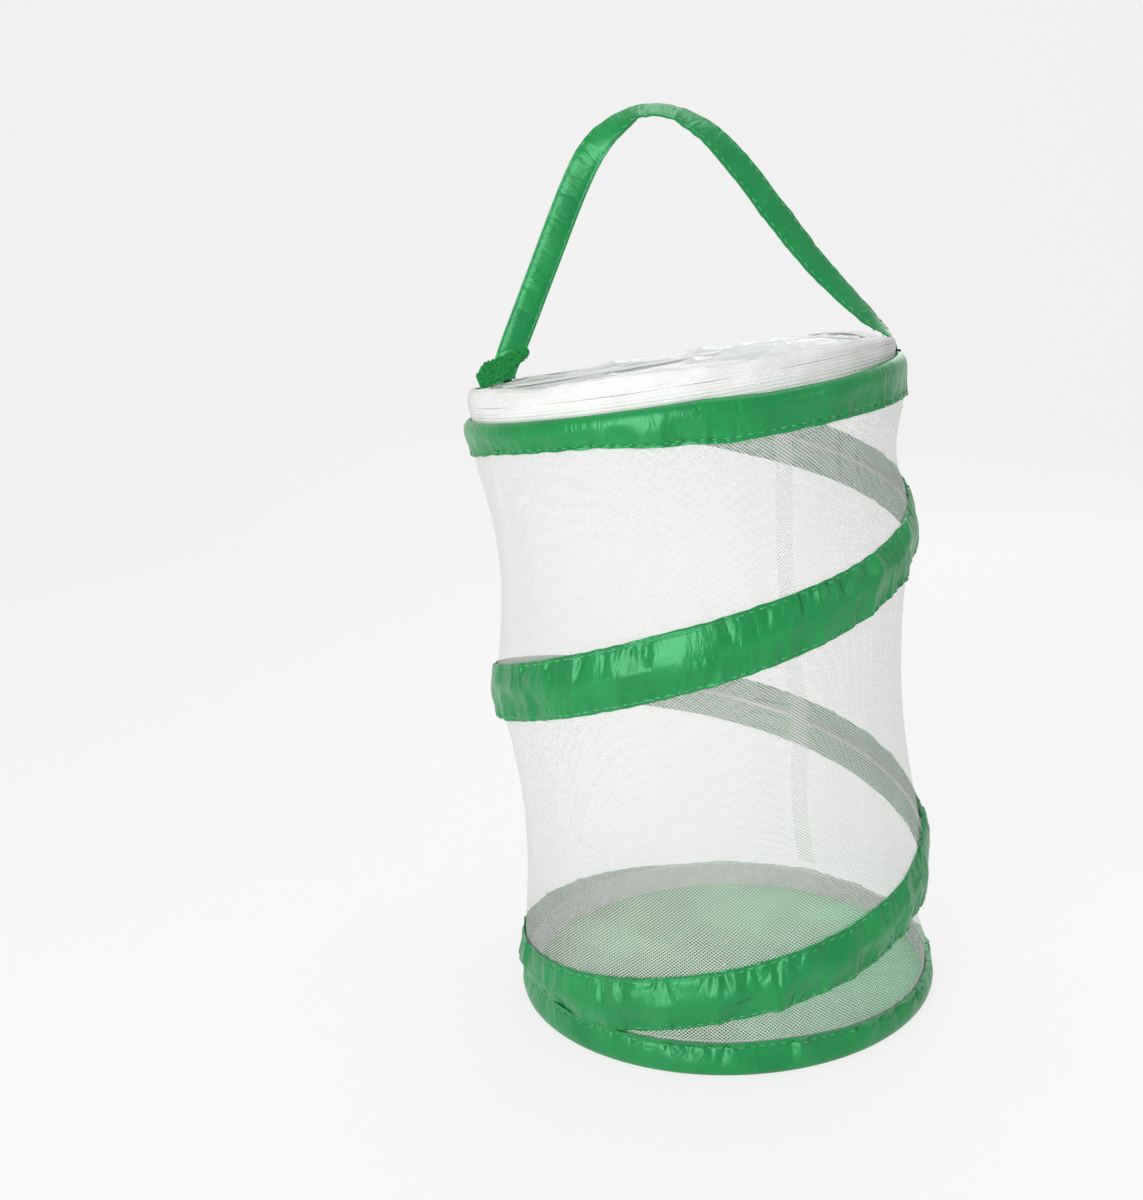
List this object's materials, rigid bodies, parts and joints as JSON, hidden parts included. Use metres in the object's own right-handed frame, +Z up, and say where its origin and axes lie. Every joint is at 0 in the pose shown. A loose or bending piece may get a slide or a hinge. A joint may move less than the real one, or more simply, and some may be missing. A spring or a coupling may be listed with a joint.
{
  "type": "pop-up insect cage",
  "caption": "Small round pop-up cage with a net wall held open by a ribbon-covered spiral wire, a zipped clear lid flap and a strap handle; it folds flat.",
  "frame": {"origin": "middle of the base cloth's underside, where the cage stands", "axes": "+Z up, -Y the front with the lifting half of the lid, +X to the right of someone facing the front"},
  "size_m": [0.1453, 0.1415, 0.2877],
  "materials": {
    "base_cloth": "printed polyester, soft green fade",
    "green_ribbon": "satin ribbon",
    "spring_wire": "spring steel",
    "net": "fine white net",
    "zip_tape": "woven polyester tape",
    "zip_coil": "nylon coil",
    "zip_mould": "moulded plastic",
    "clear_vinyl": "clear flexible vinyl",
    "loop_pile": "loop pile"
  },
  "bodies": {
    "base": {"base_panel": "base_cloth", "base_hoop": "spring_wire", "base_binding": "green_ribbon", "mesh_wall": "net", "wall_seam": "net", "spiral_wire": "spring_wire", "spiral_sleeve": "green_ribbon"},
    "rim": {"top_hoop": "spring_wire", "top_binding": "green_ribbon", "zip_tape_lower": "zip_tape", "zip_coil_lower": "zip_coil", "lid_tape_fixed": "zip_tape", "zip_coil_fixed_left": "zip_coil", "zip_coil_fixed_right": "zip_coil", "zip_back_web": "zip_tape", "zip_stop_left": "zip_mould", "zip_stop_right": "zip_mould", "lid_panel_fixed": "clear_vinyl", "fold_seam": "zip_tape", "strap_pad_left": "green_ribbon", "strap_pad_right": "green_ribbon", "keeper_tab": "loop_pile"},
    "flap": {"lid_panel_flap": "clear_vinyl", "flap_hem": "zip_tape", "lid_tape_flap": "zip_tape", "zip_coil_flap": "zip_coil"},
    "slider": {"slider_body": "zip_mould", "slider_bail": "zip_mould"},
    "pull": {"pull_tab": "zip_mould"},
    "handle": {"handle_strap": "green_ribbon"}
  },
  "joints": [
    {"name": "collapse", "type": "slide", "parent": "base", "child": "rim", "axis": [0, 0, 1], "range_m": [-0.15, 0], "stiffness_N_per_m": 20, "springref_m": 0.06, "deforming": ["mesh_wall", "wall_seam", "spiral_wire", "spiral_sleeve"]},
    {"name": "lid_fold", "type": "hinge", "parent": "rim", "child": "flap", "pos_m": [-0.00684, -0.012, 0.20976], "axis": [-0.9954, 0, -0.0958], "range_deg": [0, 85]},
    {"name": "zip_run", "type": "hinge", "parent": "rim", "child": "slider", "pos_m": [-0.006, 0, 0.201], "axis": [-0.0958, 0, 0.9954], "range_deg": [0, 198]},
    {"name": "pull_swing", "type": "hinge", "parent": "slider", "child": "pull", "pos_m": [-0.06537, 0.03701, 0.19955], "axis": [0.5275, 0.848, 0.0508], "range_deg": [0, 100]},
    {"name": "strap_swing", "type": "hinge", "parent": "rim", "child": "handle", "pos_m": [-0.06425, 0.01547, 0.20564], "axis": [-0.9937, 0.1101, -0.022], "range_deg": [0, 60]}
  ]
}
